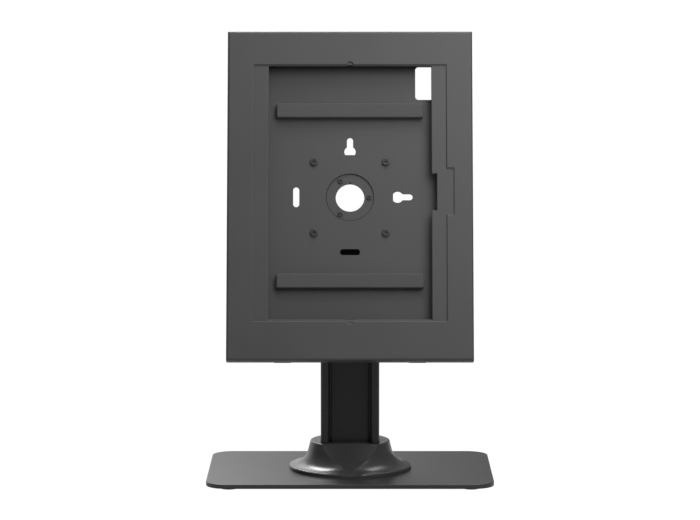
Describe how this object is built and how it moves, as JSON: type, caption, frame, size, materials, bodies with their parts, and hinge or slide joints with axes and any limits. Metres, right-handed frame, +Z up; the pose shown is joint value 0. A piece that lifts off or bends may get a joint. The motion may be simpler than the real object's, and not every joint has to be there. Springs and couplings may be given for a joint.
{
  "type": "tablet security kiosk stand",
  "caption": "Countertop stand with a flat foot, a column and a tilting, turning, lockable steel enclosure that shows a tablet through its window.",
  "frame": {"origin": "on the table, under the middle of the foot plate and of the column, which is the bottom centre of the bounding box", "axes": "+Z up, +X to the viewer's right, -Y towards the viewer, whom the screen side faces"},
  "size_m": [0.3, 0.2, 0.4718],
  "materials": {
    "base_coat": "satin dark grey powder coat on steel",
    "enclosure_coat": "fine textured anthracite powder coat on sheet steel",
    "black_anodised": "black anodised extrusion",
    "cover_plastic": "matt black moulded plastic",
    "collar_plastic": "satin anthracite moulded plastic",
    "rubber": "black rubber",
    "foam": "closed cell foam strip, dark grey",
    "cast_black": "black coated casting",
    "black_steel": "blackened steel",
    "bright_steel": "zinc plated steel",
    "lock_chrome": "chrome plated lock",
    "nylon": "natural nylon"
  },
  "bodies": {
    "base": {"base_plate": "base_coat", "rubber_feet": "rubber", "collar": "collar_plastic", "column": "black_anodised", "front_cover": "cover_plastic", "rear_cover": "cover_plastic", "column_screws_lower": "black_steel", "column_screws_upper": "black_steel", "column_head": "cast_black", "tilt_washers": "nylon"},
    "head": {"hub_arm": "cast_black", "tilt_bolt": "black_steel", "tilt_nut": "black_steel", "outer_washers": "black_steel", "swivel_washer": "nylon", "hub_ring": "enclosure_coat", "hub_ring_screws": "black_steel", "rotation_stop_pin": "black_steel"},
    "enclosure": {"vesa_plate": "enclosure_coat", "vesa_screws": "black_steel", "back_panel": "enclosure_coat", "foam_bar_top": "foam", "foam_bar_bottom": "foam", "tablet_guides": "cover_plastic", "hinge_leaves": "enclosure_coat", "hinge_pins": "bright_steel", "lock_body": "lock_chrome", "lock_nut": "lock_chrome"},
    "door": {"front_frame": "enclosure_coat", "mask": "enclosure_coat", "mask_studs": "bright_steel", "mask_nuts": "bright_steel", "lock_catch": "bright_steel"},
    "lock": {"lock_plug": "lock_chrome", "lock_cam": "bright_steel", "lock_cam_screw": "bright_steel"}
  },
  "joints": [
    {"name": "tilt", "type": "hinge", "parent": "base", "child": "head", "pos_m": [0, 0, 0.262], "axis": [-1, 0, 0], "range_deg": [-15, 30]},
    {"name": "turn", "type": "hinge", "parent": "head", "child": "enclosure", "pos_m": [0, -0.03351, 0.30038], "axis": [0, -0.9659, 0.2588], "range_deg": [0, 90]},
    {"name": "door_swing", "type": "hinge", "parent": "enclosure", "child": "door", "pos_m": [0, -0.07242, 0.13584], "axis": [1, 0, 0], "range_deg": [0, 95]},
    {"name": "lock_turn", "type": "hinge", "parent": "enclosure", "child": "lock", "pos_m": [0, 0.00635, 0.44913], "axis": [0, -0.9659, 0.2588], "range_deg": [0, 90]}
  ]
}
